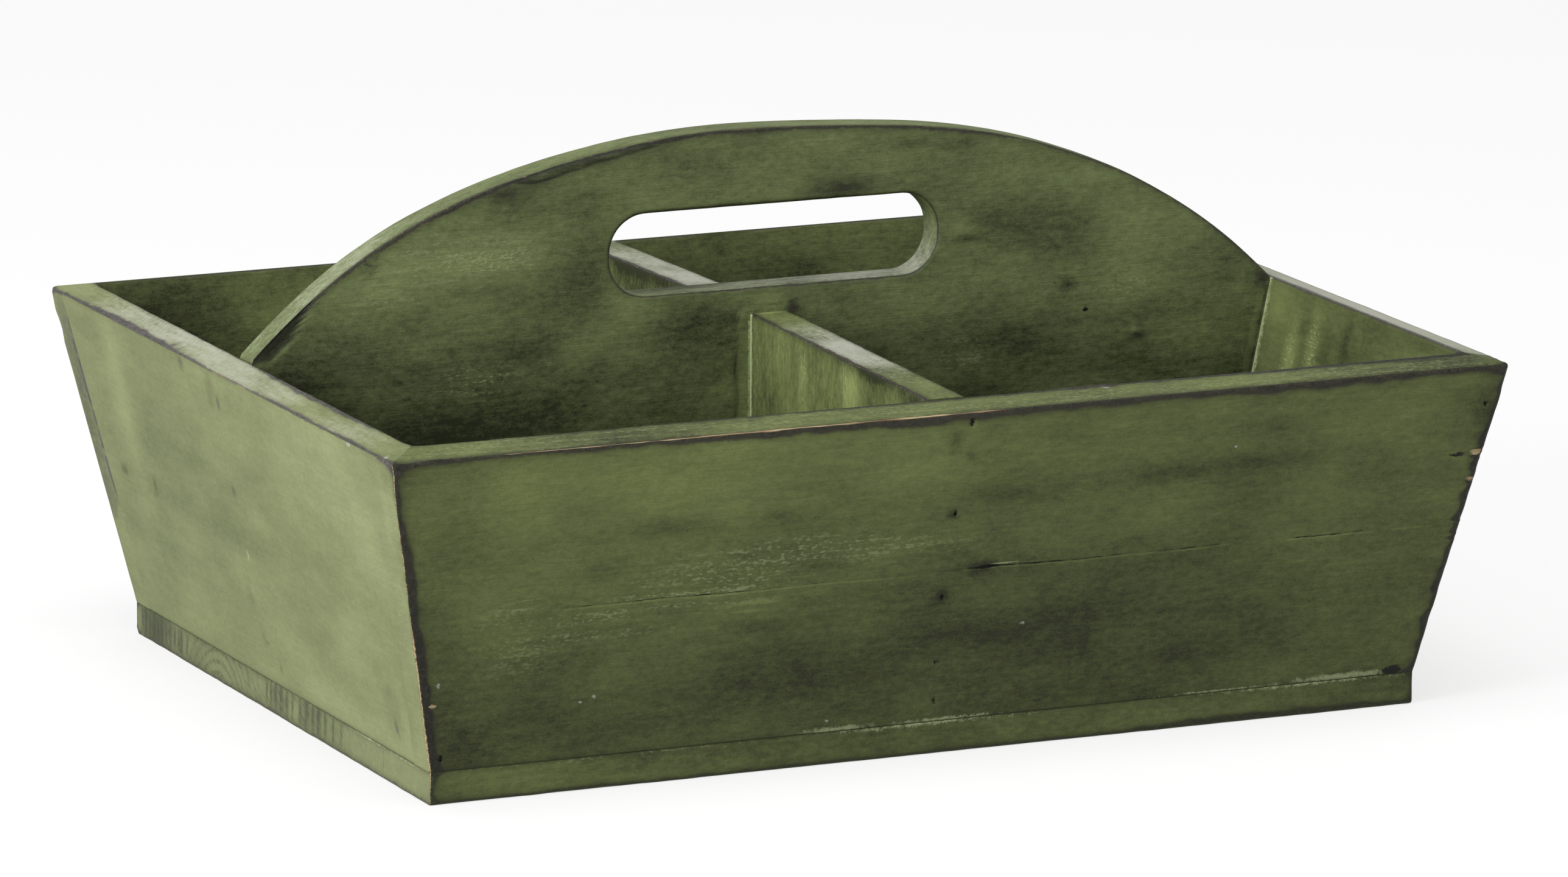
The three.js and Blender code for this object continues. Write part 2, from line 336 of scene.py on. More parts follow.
def painted(name, grain, greens, second=END_GREENS, wax=WAX, brushed=(0.78, 0.17, 0.6),
            scraped=(0, 0.2, 0.2), rings=None, seed=0):
    """Brushed green paint on pine whose grain runs along an axis.

    greens are its darkest and palest greens, and second those of the second paint. brushed says
    how much clouds, streaks of the brush and a fine mottle change its tone. scraped turns its
    scratches away from the grain. rings is the heart of the growth rings that show in the
    second paint where its grain is raised, in Y and Z.
    """
    material = bpy.data.materials.new(name)
    material.use_nodes = True
    tree = material.node_tree
    surface = tree.nodes["Principled BSDF"]
    start = Wire(tree)
    point = start.node("ShaderNodeTexCoord", output="Object")

    def cloud(along, across, detail=3, roughness=0.5, shift=0, turn=(0, 0, 0)):
        """Noise whose grains are that many millimetres along and across the wood."""
        size = [MILLIMETRE * across] * 3
        size["XYZ".index(grain)] = MILLIMETRE * along
        placed = start.node("ShaderNodeMapping", {"vector_type": "TEXTURE"}, {
            "Vector": point, "Location": Vector((1, 2, 3)) * 0.11 * (seed + shift), "Rotation": turn,
            "Scale": size})
        return start.node("ShaderNodeTexNoise", None, {
            "Vector": placed, "Scale": 1, "Detail": detail, "Roughness": roughness})

    def skin(layer):
        return start.node("ShaderNodeAttribute", {"attribute_name": layer}, output="Fac")

    broad = cloud(44, 18, 4, 0.6)
    streak = cloud(24, 1.5, 3, 0.6, 3)
    mottle = cloud(3.8, 1.8, 4, 0.7, 7)
    fibre = cloud(16, 0.5, 2, 0.5, 5)
    ragged = cloud(2.2, 1.7, 3, 0.6, 9)
    grit = cloud(0.7, 0.6, 2, 0.6, 13)
    fleck = cloud(1.7, 0.8, 2, 0.5, 11)
    slant = cloud(9, 0.5, 2, 0.5, 15, scraped)

    clouds, streaks, mottled = brushed
    other = skin("second")
    varied = clouds * (broad - 0.5) + streaks * (streak - 0.5)
    varied += mottled * (mottle + 0.4 * ragged + 0.6 * grit - 1)
    tone = 0.5 + skin("tone") + varied * (1 - 0.3 * other)
    paint = tone.blend(*greens)
    paint = other.blend(paint, tone.blend(*second))
    if rings:
        placed = start.node("ShaderNodeMapping", {"vector_type": "TEXTURE"}, {
            "Vector": point, "Location": [MILLIMETRE * c for c in (0, *rings)],
            "Scale": [MILLIMETRE] * 3})
        growth = start.node("ShaderNodeTexWave", {"wave_type": "RINGS", "rings_direction": "X"}, {
            "Vector": placed, "Scale": 0.085, "Distortion": 3, "Detail": 2, "Detail Scale": 0.3})
        ringed = growth.fade(0.4, 0.9) * (0.35 + ragged).fade(0.6, 1) * other * skin("chalk")
        paint = ringed.blend(paint, second[0])
    paint = ((0.47 - fibre).fade(0, 0.16) * 0.1).blend(paint, greens[0])
    raised = skin("chalk") * (1 - other) if rings else skin("chalk")
    chalky = (fleck + 0.7 * (streak - 0.5)).fade(0.52, 0.72) * raised.fade(0, 1)
    paint = (chalky * 0.8).blend(paint, RAISED)
    sawn = skin("sawn")
    paint = ((0.42 - slant).fade(0, 0.1) * sawn * 0.7).blend(paint, wax[0])
    paint = ((slant - 0.6).fade(0, 0.1) * sawn * 0.6).blend(paint, greens[1])
    # whitish scuffs; at the front left corner's tip this is partly a painted highlight
    scuffs_and_highlight = skin("scuff") + 0.6 * (slant - 0.5) + 0.9 * (broad - 0.5) + 0.5 * (streak + mottle - 1)
    scuffs_and_highlight = scuffs_and_highlight.fade(0.1, 1) * skin("scuff").fade(0.05, 0.4)
    paint = scuffs_and_highlight.blend(paint, SCUFF_AND_HIGHLIGHT)
    rubbed = skin("wax") + 1.9 * (ragged - 0.5) + 1.1 * (grit - 0.5)
    paint = (rubbed.fade(-2.2, 0.8) * 0.4).blend(paint, greens[0])
    waxed = rubbed.fade(-0.4, 0.8)
    waxes = (0.5 * grit + 0.5 * ragged + 0.3 * skin("tone")).fade(0.3, 0.72).blend(*wax)
    paint = (waxed * 0.94).blend(paint, waxes)
    filled = (skin("fill") + 0.7 * (ragged - 0.5) + 0.5 * (grit - 0.5)).fade(-0.05, 0.3)
    paint = filled.blend(paint, FILLER)
    bared = (skin("bare") + 0.8 * (fibre - 0.5)).fade(0, 0.25)
    paint = bared.blend(paint, streak.fade(0.35, 0.6).blend(*BARE_PINE))
    # open cracks and sunk nails are painted near black: dirt and painted shade in their depths
    crack_dirt_and_shade = (skin("crack") + 0.5 * (fleck - 0.5)).fade(-0.1, 0.12)
    paint = crack_dirt_and_shade.blend(paint, CRACK_DIRT_AND_SHADE)
    tree.links.new(paint.socket, surface.inputs["Base Color"])

    rough = 0.6 + 0.2 * (mottle - 0.5) - 0.1 * waxed
    tree.links.new(rough.socket, surface.inputs["Roughness"])
    height = 0.08 * fibre + 0.12 * mottle + 0.06 * ragged + 0.05 * chalky - 0.1 * waxed
    bumped = start.node("ShaderNodeBump", None, {"Height": height, "Strength": 1, "Distance": MILLIMETRE})
    tree.links.new(bumped.socket, surface.inputs["Normal"])
    surface.inputs["Specular IOR Level"].default_value = DULL_SHEEN
    return material


def lower_front_edge(p):
    """The front arris of the underside, rubbed hardest towards its right end."""
    return Wear(1.3, near=eased(((-160, 1.3), (60, 1.4), (95, 2.8), (150, 2.8), (177, 1.6)), p.x))


def end_point(y, z):
    """A place on an end, where X doesn't count."""
    return Vector((0, y, z))


bottom_paint = painted("bottom_paint", "X", WALL_GREENS, (rgb(66, 73, 45), rgb(156, 163, 118)),
                       (rgb(34, 36, 24), rgb(68, 71, 50)), scraped=(0, -0.5, math.pi / 2),
                       rings=(54, -14), seed=3)
ends = {"end_left": flat((-BOTTOM_HALF_LENGTH, 0, 0), (-1, 0, 0)),
        "end_right": flat((BOTTOM_HALF_LENGTH, 0, 0), (1, 0, 0)),
        "top": flat((0, 0, BOTTOM_THICKNESS), (0, 0, 1)), "underside": flat((0, 0, 0), (0, 0, -1))}
# dark streaks where the end grain has drunk the wax: their place and half their width. The ones
# in the middle lie higher up
END_GRAIN_STREAKS = ((125, 1.2), (121.9, 2.0), (118, 1.3), (114, 1.9), (110, 1.1), (106.8, 1.9), (102.6, 1.1),
                     (99, 1.4), (94.6, 0.9), (91, 0.8), (88.4, 1.3), (83, 0.7), (10, 0.8), (6, 1.1), (2, 1.3),
                     (-3, 1.8), (-8, 1.1), (-13, 0.9), (-20, 1.2), (-25.7, 2.0), (-31, 1.4), (-36, 1.8),
                     (-42, 0.9), (-49, 0.8), (-56, 0.6))
END_GRAIN_MARKS = marks_on("end_left", end_point, "Y", tuple(
    (y, 8 if -80 <= y <= 20 else 6, 0.75 * half, 3.2 + 2.6 * half, "wax", 0.5)
    for y, half in END_GRAIN_STREAKS) + (
    # growth rings and torn grain, and filler closing the grain at the front
    (54, 4, 32, 0, "chalk", 0.55), (-16, 8, 44, 7, "sawn", 0.8), (50, 6, 90, 0, "sawn", 0.8),
    (-95, 6, 32, 0, "tone", 0.1), (-79, 10.6, 14, 0.4, "fill", 0.22), (-110, 10.4, 11, 0.4, "fill", 0.2),
    (20, 6, 60, 0, "tone", -0.02), (113, 6, 13, 0, "tone", -0.3), (40, 0, 90, 3, "tone", -0.1),
))
FRONT_EDGE_MARKS = marks_on("front", lambda x, z: Vector((x, 0, z)), "X", (
    # filler pushed into the seam with the front wall, and grain that stands up pale
    (-3, 10.6, 30, 1.0, "fill", 0.2), (138, 10.8, 34, 0.9, "fill", 0.2),
    (-110, 10.4, 60, 1.0, "chalk", 0.9), (0, 5, 0, 20, "tone", -0.17), (60, 5, 60, 9, "tone", 0.05),
    (-130, 5, 40, 9, "tone", 0.1),
))
for name, node, low, high in (("narrow_bottom", "bottom_board_narrow", -BOTTOM_HALF_WIDTH, BOTTOM_JOINT),
                              ("wide_bottom", "bottom_board_wide", BOTTOM_JOINT, BOTTOM_HALF_WIDTH)):
    sides = {"front": flat((0, low, 0), (0, -1, 0)), "back": flat((0, high, 0), (0, 1, 0)), **ends}
    joint = "back" if high == BOTTOM_JOINT else "front"
    marks = END_GRAIN_MARKS
    arrises = {(joint, other): JOINT for other in ("top", "underside", "end_left", "end_right")}
    if joint == "back":
        marks += FRONT_EDGE_MARKS
        arrises |= {("front", "top"): Wear(0.3, 0.35), ("front", "underside"): lower_front_edge,
                    ("front", "end_left"): Wear(1.1, 1.6, 0, 0.25),
                    ("front", "end_right"): Wear(1.2, 0.8, 0.8)}
    else:
        arrises |= {("back", "top"): Wear(0.4, 0.5), ("back", "underside"): Wear(4, 1.5, 1.5),
                    ("end_left", "back"): Wear(1.4, 0.6, 0.6), ("end_right", "back"): Wear(1.4, 0.6, 0.6)}
    for end in ("end_left", "end_right"):
        arrises |= {(end, "top"): Wear(0.3, 0.25), (end, "underside"): Wear(0.7, 1.2, 0.8, 0.35)}
    # the rows lie close together, because the end grain's streaks are narrow
    bm = block(lines(-BOTTOM_HALF_LENGTH, BOTTOM_HALF_LENGTH, 3.2), lines(low, high, 1.2),
               lines(0, BOTTOM_THICKNESS, 1.6, ends=THIN_STEPS), lambda x, y, z: (x, y, z))
    weather(bm, sides, arrises, marks, second=("end_",))
    settle(bm, name, [node], "wall_paint", bottom_paint)


# End walls
# Single boards, 12.5 mm thick, that lean out by 11.8 degrees. They stand on the bottom between
# the long walls, and their top edges are planed square to their faces and rubbed pale.
SPLAY = math.radians(11.8)
SLOPE, COS, SIN = math.tan(SPLAY), math.cos(SPLAY), math.sin(SPLAY)
WALL = 12.5
RIM = 118.5
INNER_RIM = RIM + WALL * SIN
FACE = (RIM - BOTTOM_THICKNESS) / COS
RIM_HALF_LENGTH = BOTTOM_HALF_LENGTH + FACE * SIN
RIM_HALF_WIDTH = BOTTOM_HALF_WIDTH + FACE * SIN


def up_the_slope(row, layer):
    """How high a point of a leaning wall lies, and how far it leans out over the bottom's edge."""
    foot = -layer * SLOPE
    distance = foot + row / FACE * (FACE - foot)
    return BOTTOM_THICKNESS + distance * COS + layer * SIN, distance * SIN - layer * COS


def leaning(way, half):
    """The four long sides of a wall that leans towards way, over an edge half from the middle."""
    way = Vector(way)
    outer, along = way * COS - Vector((0, 0, SIN)), way * SIN + Vector((0, 0, COS))
    edge = way * half + Vector((0, 0, BOTTOM_THICKNESS))
    return {"outer": flat(edge, outer), "inner": flat(edge - outer * WALL, -outer),
            "top": flat(edge + along * FACE, along), "foot": flat(edge, (0, 0, -1))}


def on_end(out, y, z, skin=0):
    """A point on an end wall's outer face, or skin deeper."""
    return Vector((out * (BOTTOM_HALF_LENGTH + (z - BOTTOM_THICKNESS) * SLOPE - skin / COS), y, z))


LEFT_MARKS = marks_on("outer", lambda y, z: on_end(-1, y, z), "Y", (
    # nails up the middle, sunk or filled, and what has run from them
    (1, 107.7, 1.0, 2.2, "wax", 0.9), (3.6, 77, 1.4, 1.6, "wax", 0.7), (2.8, 55, 0.8, 2.2, "fill", 0.7),
    (1.4, 24.7, 0.5, 0.8, "hole", 0.6), (2.4, 17, 0.5, 0.6, "hole", 0.6),
    (-7, 18, 0.8, 1.4, "tone", -0.5), (5.2, 113, 2, 4.5, "tone", -0.35), (8.5, 110, 1.4, 5, "tone", -0.3),
    (31, 116, 1.2, 2.4, "wax", 0.5), (84, 62, 1.2, 3, "tone", -0.35), (113, 62, 3, 2, "tone", -0.5),
    (9, 39, 1.8, 7, "tone", -0.3), (4, 30, 1.2, 5, "tone", -0.35), (40, 82, 34, 20, "tone", -0.17),
    (22, 62, 18, 10, "tone", -0.1), (-40, 74, 60, 30, "tone", -0.08), (0, 40, 0, 36, "tone", -0.08),
    (-109, 21, 1, 2.4, "wax", 0.6), (-75, 60, 60, 0, "tone", 0.12), (-60, 98, 45, 9, "tone", 0.08),
    (100, 92, 9, 40, "tone", 0.2), (82, 84, 12, 40, "tone", -0.1), (-15, 70, 14, 4, "tone", 0.16),
    (-119, 25, 5, 9, "tone", 0.3), (-120, 29, 5, 7, "chalk", 0.5), (-126, 80, 4, 18, "chalk", 0.5),
    (-60, 16, 45, 5, "tone", 0.14), (-118, 92, 12, 16, "tone", 0.12),
)) + (
    # the saw's marks across the rim, and scuffs and white nicks on it
    ("top", on_end(-1, 60, 119), (0, 80, 0), "sawn", 0.35),
    ("top", on_end(-1, 72, 119) + Vector((11, 0, 2.3)), (4.5, 44, 0), "sawn", 1.0),
    ("top", on_end(-1, -110, 119), (0, 34, 0), "scuff", 0.3),
    ("top", on_end(-1, 20, 119), (0, 90, 0), "tone", 0.1),
    ("top", on_end(-1, 66, 119), (0, 62, 0), "scuff", 0.62),
    ("top", on_end(-1, -25, 119), (0, 44, 0), "scuff", 0.5),
    ("top", on_end(-1, -115, 119), (0, 30, 0), "tone", -0.12),
    ("top", on_end(-1, 43, 119) + Vector((2.4, 0, 0.5)), (2.2, 1.4, 0), "wax", 0.8),
    ("top", on_end(-1, 37, 119) + Vector((2.6, 0, 0.5)), (2.0, 1.0, 0), "wax", 0.7),
    ("top", on_end(-1, -132.3, 118.6), (0.9, 1.1, 0), "scuff", 2.5),
    ("outer", on_end(-1, -118, 118), (0, 1.2, 0.8), "scuff", 2.5),
)
RIGHT_MARKS = (
    ("top", on_end(1, 0, 119), (0, 120, 0), "tone", 0.1),
    ("top", on_end(1, -60, 119), (0, 160, 0), "scuff", 0.88),
    ("top", on_end(1, -40, 119), (0, 90, 0), "sawn", 0.4),
)


def left_rim_arris(p):
    """The left rim's outer arris: the wax shows on its flat in smudges."""
    smudged = eased(((-150, 1.6), (-118, 2.2), (-95, 1.2), (-60, 1.6), (-25, 0.9), (0, 0.7), (28, 1.8),
                     (60, 2.8), (95, 3.2), (125, 2.2)), p.y)
    bare = eased(((-42, 0), (-30, 0.1), (-10, 0.18), (0, 0.12), (8, 0)), p.y)
    return Wear(1.4, 0.4, smudged, bare)


def blunted(p):
    """How round a rim's inner arris is: it stays sharp where it meets the long walls."""
    return eased(((-141, 0.1), (-136, 1), (136, 1), (141, 0.1)), p.y)


def right_inner_arris(p):
    """The right rim's inner arris, with an even band of wax."""
    return Wear(blunted(p), 0.8, 1.4)


def left_inner_arris(p):
    """The left rim's inner arris: a dark smudge on its flat, in front of the carrying board."""
    return Wear(blunted(p), near=0.4, far=eased(
        ((-128, 0.9), (-110, 1.8), (-70, 2.8), (-25, 2.2), (-8, 1.1), (10, 0.9), (70, 0.9)), p.y))


end_paint = painted("end_paint", "Y", END_GREENS, WALL_GREENS, (rgb(46, 43, 42), rgb(98, 92, 92)),
                    brushed=(0.9, 0.14, 0.5), scraped=(0, 0, -1.1), seed=11)
for name, node, out in (("left_wall", "left_end_wall", -1), ("right_wall", "right_end_wall", 1)):
    sides = leaning((out, 0, 0), BOTTOM_HALF_LENGTH)
    for end, way in (("end_front", -1), ("end_back", 1)):
        inner = BOTTOM_HALF_WIDTH - WALL / COS
        sides[end] = flat((0, way * inner, BOTTOM_THICKNESS), (0, way * COS, -SIN))
    arrises = {(a, b): JOINT if out > 0 or b == "inner" else FLUSH
               for a in ("end_front", "end_back") for b in ("outer", "inner", "top", "foot")}
    arrises |= {("outer", "top"): left_rim_arris if out < 0 else Wear(1.4, 1, 1.6, 0.2),
                ("inner", "top"): left_inner_arris if out < 0 else right_inner_arris,
                ("outer", "foot"): Wear(0.25, 0.3), ("inner", "foot"): JOINT}
    half = RIM_HALF_WIDTH - WALL * COS

    def place(column, row, layer):
        z, lean = up_the_slope(row, layer)
        inner = BOTTOM_HALF_WIDTH + (z - BOTTOM_THICKNESS) * SLOPE - WALL / COS
        return out * (BOTTOM_HALF_LENGTH + lean), column / half * inner, z

    inside = marks_on("inner", lambda y, z: on_end(out, y, z, WALL), "Y", (
        # smears down the inner face, and filler where the carrying board meets it
        (0, 40, 0, 45, "tone", -0.14), (0, 90, 200, 0, "tone", -0.25), (-27, 96, 4, 14, "tone", 0.46),
        (-27, 94, 4, 14, "chalk", 1.3), (-41, 100, 3.5, 16, "tone", 0.36),
        (-41, 99, 3.5, 14, "chalk", 1.2), (-64, 106, 3, 22, "tone", -0.17),
        (-52, 98, 4, 14, "tone", -0.12), (-78, 112, 12, 8, "tone", -0.16),
        (-100, 118, 30, 4, "tone", -0.1), (-14, 100, 9, 40, "tone", 0.16),
        (-3.6, 66, 2.4, 90, "fill", 0.62), (9.6, 66, 2.6, 80, "fill", 0.45),
    ))
    bm = block(lines(-half, half, 3), lines(0, FACE, 2.6), lines(0, WALL, 2.2, ends=THIN_STEPS), place)
    weather(bm, sides, arrises, (LEFT_MARKS if out < 0 else RIGHT_MARKS) + inside,
            second=("inner", "end_"))
    settle(bm, name, [node], "end_paint", end_paint)


# Long walls
# Each is two planks glued edge to edge, 12.5 mm thick, nailed over the ends of the end walls.
# The glue joint has opened here and there, and the corners are planed flush with the end walls.
# Dark wax lies along the arrises, and grain stands up pale through the paint in places.
JOINT_HEIGHT = 63.7
DEEPEST_CRACK = 0.7
# half the width of the crack from end to end: below 0 it is closed
OPEN_JOINT = ((-142, -0.3), (-128, 0.08), (-80, 0.12), (-62, 0.02), (-44, 0.06), (-34, -0.03), (-12, -0.06),
              (-8, -0.4), (4, -0.4), (8, 0.1), (11, 0.45), (16, 0.5), (20, 0.2), (54, 0.14), (66, 0.04),
              (96, 0.12), (104, -0.3), (122, -0.3), (128, 0.2),
              (136, 0.14), (150, 0.12), (156, -0.3), (170, 0), (178, -0.2))


def on_long(out, x, z, skin=0):
    """A point on a long wall's outer face, or skin deeper."""
    return Vector((x, out * (BOTTOM_HALF_WIDTH + (z - BOTTOM_THICKNESS) * SLOPE - skin / COS), z))


def front(x, z):
    """A point on the front wall's outer face."""
    return on_long(-1, x, z)


FRONT_MARKS = marks_on("outer", front, "X", (
    # nails into the cross board and one at each end, and the dark paint round them
    (3.6, 114.7, 0.65, 1.15, "hole", 1.6), (0.6, 83.3, 0.5, 0.85, "hole", 1.6),
    (-1, 54.7, 0.6, 0.7, "hole", 1.6), (-0.6, 31.7, 0.8, 0.4, "hole", 0.8),
    (0, 18.1, 0.4, 0.9, "hole", 1.4), (-174, 15.3, 0.6, 1.1, "hole", 1.4),
    (192, 105, 0.7, 0.7, "hole", 1.4), (-1.2, 55.2, 2.4, 2.4, "tone", -0.5),
    (-0.4, 83.4, 2.2, 2.0, "tone", -0.35), (-2, 109, 2.2, 3.4, "tone", -0.4),
    (4, 103.5, 1.8, 2.0, "tone", -0.35),
    # wood laid bare at the right and the left arris, and in the open joint
    (190.8, 88.2, 2.4, 1.2, "bare", 0.8), (189.8, 78.8, 2.2, 0.8, "bare", 0.7),
    (184, 88, 3.0, 0.8, "crack", 0.3), (-178.5, 34, 1.6, 0.9, "bare", 0.6),
    (-177, 41, 0.4, 1.0, "scuff", 1.2), (20, 64.9, 6, 0.6, "fill", 0.6), (12, 64, 5, 2, "tone", -0.5),
    # specks of dust under the paint
    (100.6, 98, 0.6, 0.35, "scuff", 2), (-127, 30.5, 0.6, 0.35, "scuff", 1.5),
    (-122, 32, 0.4, 0.3, "scuff", 2), (29, 43, 0.5, 0.4, "scuff", 3), (-8, 37, 0.35, 0.3, "scuff", 1.6),
    (-38, 15, 0.4, 0.35, "scuff", 2), (-142, 111, 0.5, 0.4, "scuff", 1.2),
    # dark smudges in a row under the rim
    (18, 89, 14, 3.2, "tone", -0.26), (75, 90, 14, 2.6, "tone", -0.22), (116, 92, 24, 3.0, "tone", -0.26),
    (110, 105, 26, 3.0, "tone", -0.14), (-100, 88, 16, 3.0, "tone", -0.26),
    (-62, 88, 12, 2.8, "tone", -0.22), (-122, 75, 13, 4.0, "tone", -0.24),
    (38, 108, 9, 4.0, "tone", -0.16),
    # grain that stands up pale
    (-58, 77, 50, 5, "chalk", 0.75), (-84, 69, 34, 4, "chalk", 0.9), (-20, 73, 34, 4, "chalk", 0.5),
    (-70, 59.3, 10, 0.6, "tone", 0.4), (-71.5, 56.4, 8, 0.45, "tone", 0.3),
    (-85, 64.2, 40, 1.3, "chalk", 0.9), (-110, 59.5, 50, 1.8, "chalk", 1.0),
    (-122, 53, 36, 1.8, "chalk", 0.7), (-155, 66, 12, 4, "chalk", 0.7), (-150, 48, 18, 9, "chalk", 0.5),
    (-155, 100, 16, 13, "tone", 0.2), (-95, 104, 40, 14, "tone", 0.26), (15, 103, 50, 14, "tone", 0.1),
    (42, 66, 56, 16, "tone", -0.1), (140, 28, 44, 16, "tone", 0.1), (-160, 60, 14, 24, "tone", 0.12),
    (-80, 60, 60, 12, "tone", 0.06),
    # darker towards the bottom and the right, and a little paler at the top
    (0, 16, 0, 40, "tone", -0.27), (0, 116, 0, 24, "tone", 0.06), (130, 90, 70, 60, "tone", -0.08),
    (15, 38, 80, 24, "tone", -0.19), (194, 96, 5, 30, "tone", -0.3),
    # filler along the seam with the bottom, and a crack at its right end
    (-34, 11.8, 14, 1.1, "fill", 0.4), (2, 11.6, 20, 0.8, "fill", 0.3),
    (150, 12.2, 20, 1.3, "fill", 0.42), (106, 11.5, 24, 0.5, "fill", 0.35),
    (169, 12.4, 3.6, 1.8, "crack", 0.5),
    # the paint is dark along the left arris
    (-176, 12, 14, 0, "tone", -0.1), (-197, 90, 6, 0, "tone", -0.2), (-188, 50, 5, 24, "tone", -0.2),
)) + (
    # the rim's splinter, its raised grain, and where its paint is dark
    ("top", Vector((55.5, -143, 121)), (1.6, 1.6, 0), "scuff", 2.5),
    ("top", Vector((0, -150, 120)), (0, 0, 0), "chalk", 0.4),
    ("top", Vector((0, -150, 120)), (0, 0, 0), "tone", -0.07),
    ("top", Vector((-122, -150, 120)), (44, 0, 0), "tone", -0.22),
    ("top", Vector((180, -150, 120)), (50, 0, 0), "tone", -0.3),
    ("hip_right", Vector((196, -150, 120)), (0, 0, 0), "tone", -0.62),
    # the end grain beside the left end wall is scored, and the corner is rubbed through; the white spots at
    # the corner's tip are partly a pale chip and partly a painted highlight
    ("end_left", Vector((0, -134, 62)), (0, 6, 20), "sawn", 0.5),
    ("end_left", Vector((0, -135, 70)), (0, 3, 16), "chalk", 0.9),
    ("end_left", Vector((0, -140, 90)), (0, 4, 40), "tone", 0.14),
    ("end_left", Vector((0, -132, 24)), (0, 10, 12), "tone", 0.2),
    # partly a pale chip, partly a painted highlight on the rounded tip
    ("hip_left", Vector((-200, -146, 119)), (2.2, 1.4, 0), "scuff", 2.0),
    ("hip_left", Vector((-194, -150, 120)), (5, 9, 0), "tone", -0.3),
    # partly a pale chip, partly a painted highlight on the rounded tip
    ("end_left", Vector((-RIM_HALF_LENGTH, -154, 117.5)), (0, 1.6, 1.4), "scuff", 2.5),
)
BACK_MARKS = marks_on("end_left", end_point, "Y", (
    # torn end grain that holds wax
    (141, 75, 7, 30, "tone", -0.3), (144, 100, 3.5, 7, "wax", 0.15), (141, 86, 4.5, 7, "wax", 0.3),
    (140, 74, 5, 4.5, "wax", 0.1), (137, 64, 4, 6, "wax", 0.2), (134, 52, 3, 5, "wax", 0.1),
    (139, 80, 6, 24, "chalk", 0.7),
)) + marks_on("inner", lambda x, z: on_long(1, x, z, WALL), "X", (
    # raised grain in the left compartment, and dark paint low down
    (-118, 100, 26, 9, "chalk", 0.3), (-118, 102, 24, 9, "tone", 0.24), (0, 90, 0, 60, "tone", -0.27),
    (-170, 108, 22, 22, "tone", -0.14),
))


# how round the arrises are that meet in a front corner of the rim
LEFT_CORNER, RIGHT_CORNER = 3, 2.4


def front_rim_arris(p):
    """Wax under the rim's front arris, and a line rubbed down to the wood."""
    wax = eased(((-195, 1.3), (-150, 1.5), (-120, 2), (-60, 3.0), (0, 3.1), (50, 2.5), (105, 2.6), (150, 2.7),
                 (166, 2), (195, 1.7)), p.x)
    line = eased(((-180, 0), (-160, 0.2), (-60, 0.48), (-20, 0.48), (5, 0.4), (25, 0)), p.x)
    radius = eased(((-194, LEFT_CORNER), (-182, 1.2), (182, 1.2), (192, RIGHT_CORNER)), p.x)
    return Wear(radius, near=wax, far=0.7, bare=line)


def hip_arris(corner):
    """The arris over a wall's end: it runs on from the end wall's, and is rounder at the corner."""
    return lambda p: Wear(eased(((145, 1.4), (151, corner)), abs(p.y)), 1.6, 0.5, 0.12)


def splintered(p):
    """The rim's inner arris: a splinter has been left standing where it isn't rubbed down."""
    radius = 0.2 if 38 < p.x < 57 else eased(((-188, 0.1), (-183, 1.1), (183, 1.1), (188, 0.1)), p.x)
    return Wear(radius, near=0.3,
                far=eased(((-194, 0.9), (-110, 1.6), (-60, 2.1), (150, 2.6)), p.x))


def front_left_arris(p):
    """The front's left arris: a broad band of wax on the front, and its top end rubbed round."""
    return Wear(eased(((104, 0.9), (116, LEFT_CORNER)), p.z),
                near=eased(((12, 2.6), (30, 3.4), (80, 3.8), (105, 2.4), (118, 2.0)), p.z),
                far=eased(((104, 0), (114, 0.9)), p.z), bare=0.42)


def toothed(p):
    """The front's right arris, where the planed end grain has torn out in small teeth."""
    tooth = abs(noise.noise(Vector((4, 7, p.z / 2.2))))
    radius = eased(((106, 1 + 0.8 * tooth), (116, RIGHT_CORNER)), p.z)
    return Wear(radius, near=1.8 + 4.4 * tooth, far=0.8, bare=0.1)


def back_left_arris(p):
    """The back's left arris, with a nick near its top."""
    nick = eased(((100, 0), (104, 1), (107, 1), (111, 0)), p.z)
    radius = eased(((110, 1 + 1.6 * nick), (117, LEFT_CORNER)), p.z)
    return Wear(radius, 0.6, 0.9 + 1.5 * nick, 0.2)


def dashed(p):
    """The joint behind the left end wall: its line shows dark in places."""
    dash = noise.noise(Vector((0, 0, p.z / 3))) > -0.2
    shown = eased(((44, 0), (56, 1), (106, 1), (113, 0)), p.z) * dash
    return Wear(0, near=2.2 * shown)


def open_joint(p, name):
    """The groove of the glue joint on the outer face, and its pale lower lip."""
    if name != "outer" or abs(p.z - JOINT_HEIGHT) > 4:
        return 0, {}
    line = JOINT_HEIGHT + 0.5 * noise.noise(Vector((p.x / 30, 0, 0)))
    line += 0.15 * noise.noise(Vector((p.x / 4, 5, 0)))
    width = eased(OPEN_JOINT, p.x) + 0.12 * noise.noise(Vector((p.x / 6, 9, 0)))
    width *= 1 + 0.9 * noise.noise(Vector((p.x / 1.3, p.z / 0.7, 0)))
    inside = width - abs(p.z - line)
    lip = 0.24 * math.exp(-((line - 0.55 - p.z) / 0.3) ** 2) * (width > -0.15)
    return max(0.0, min(DEEPEST_CRACK, 2 * inside)), {"crack": inside, "tone": lip}


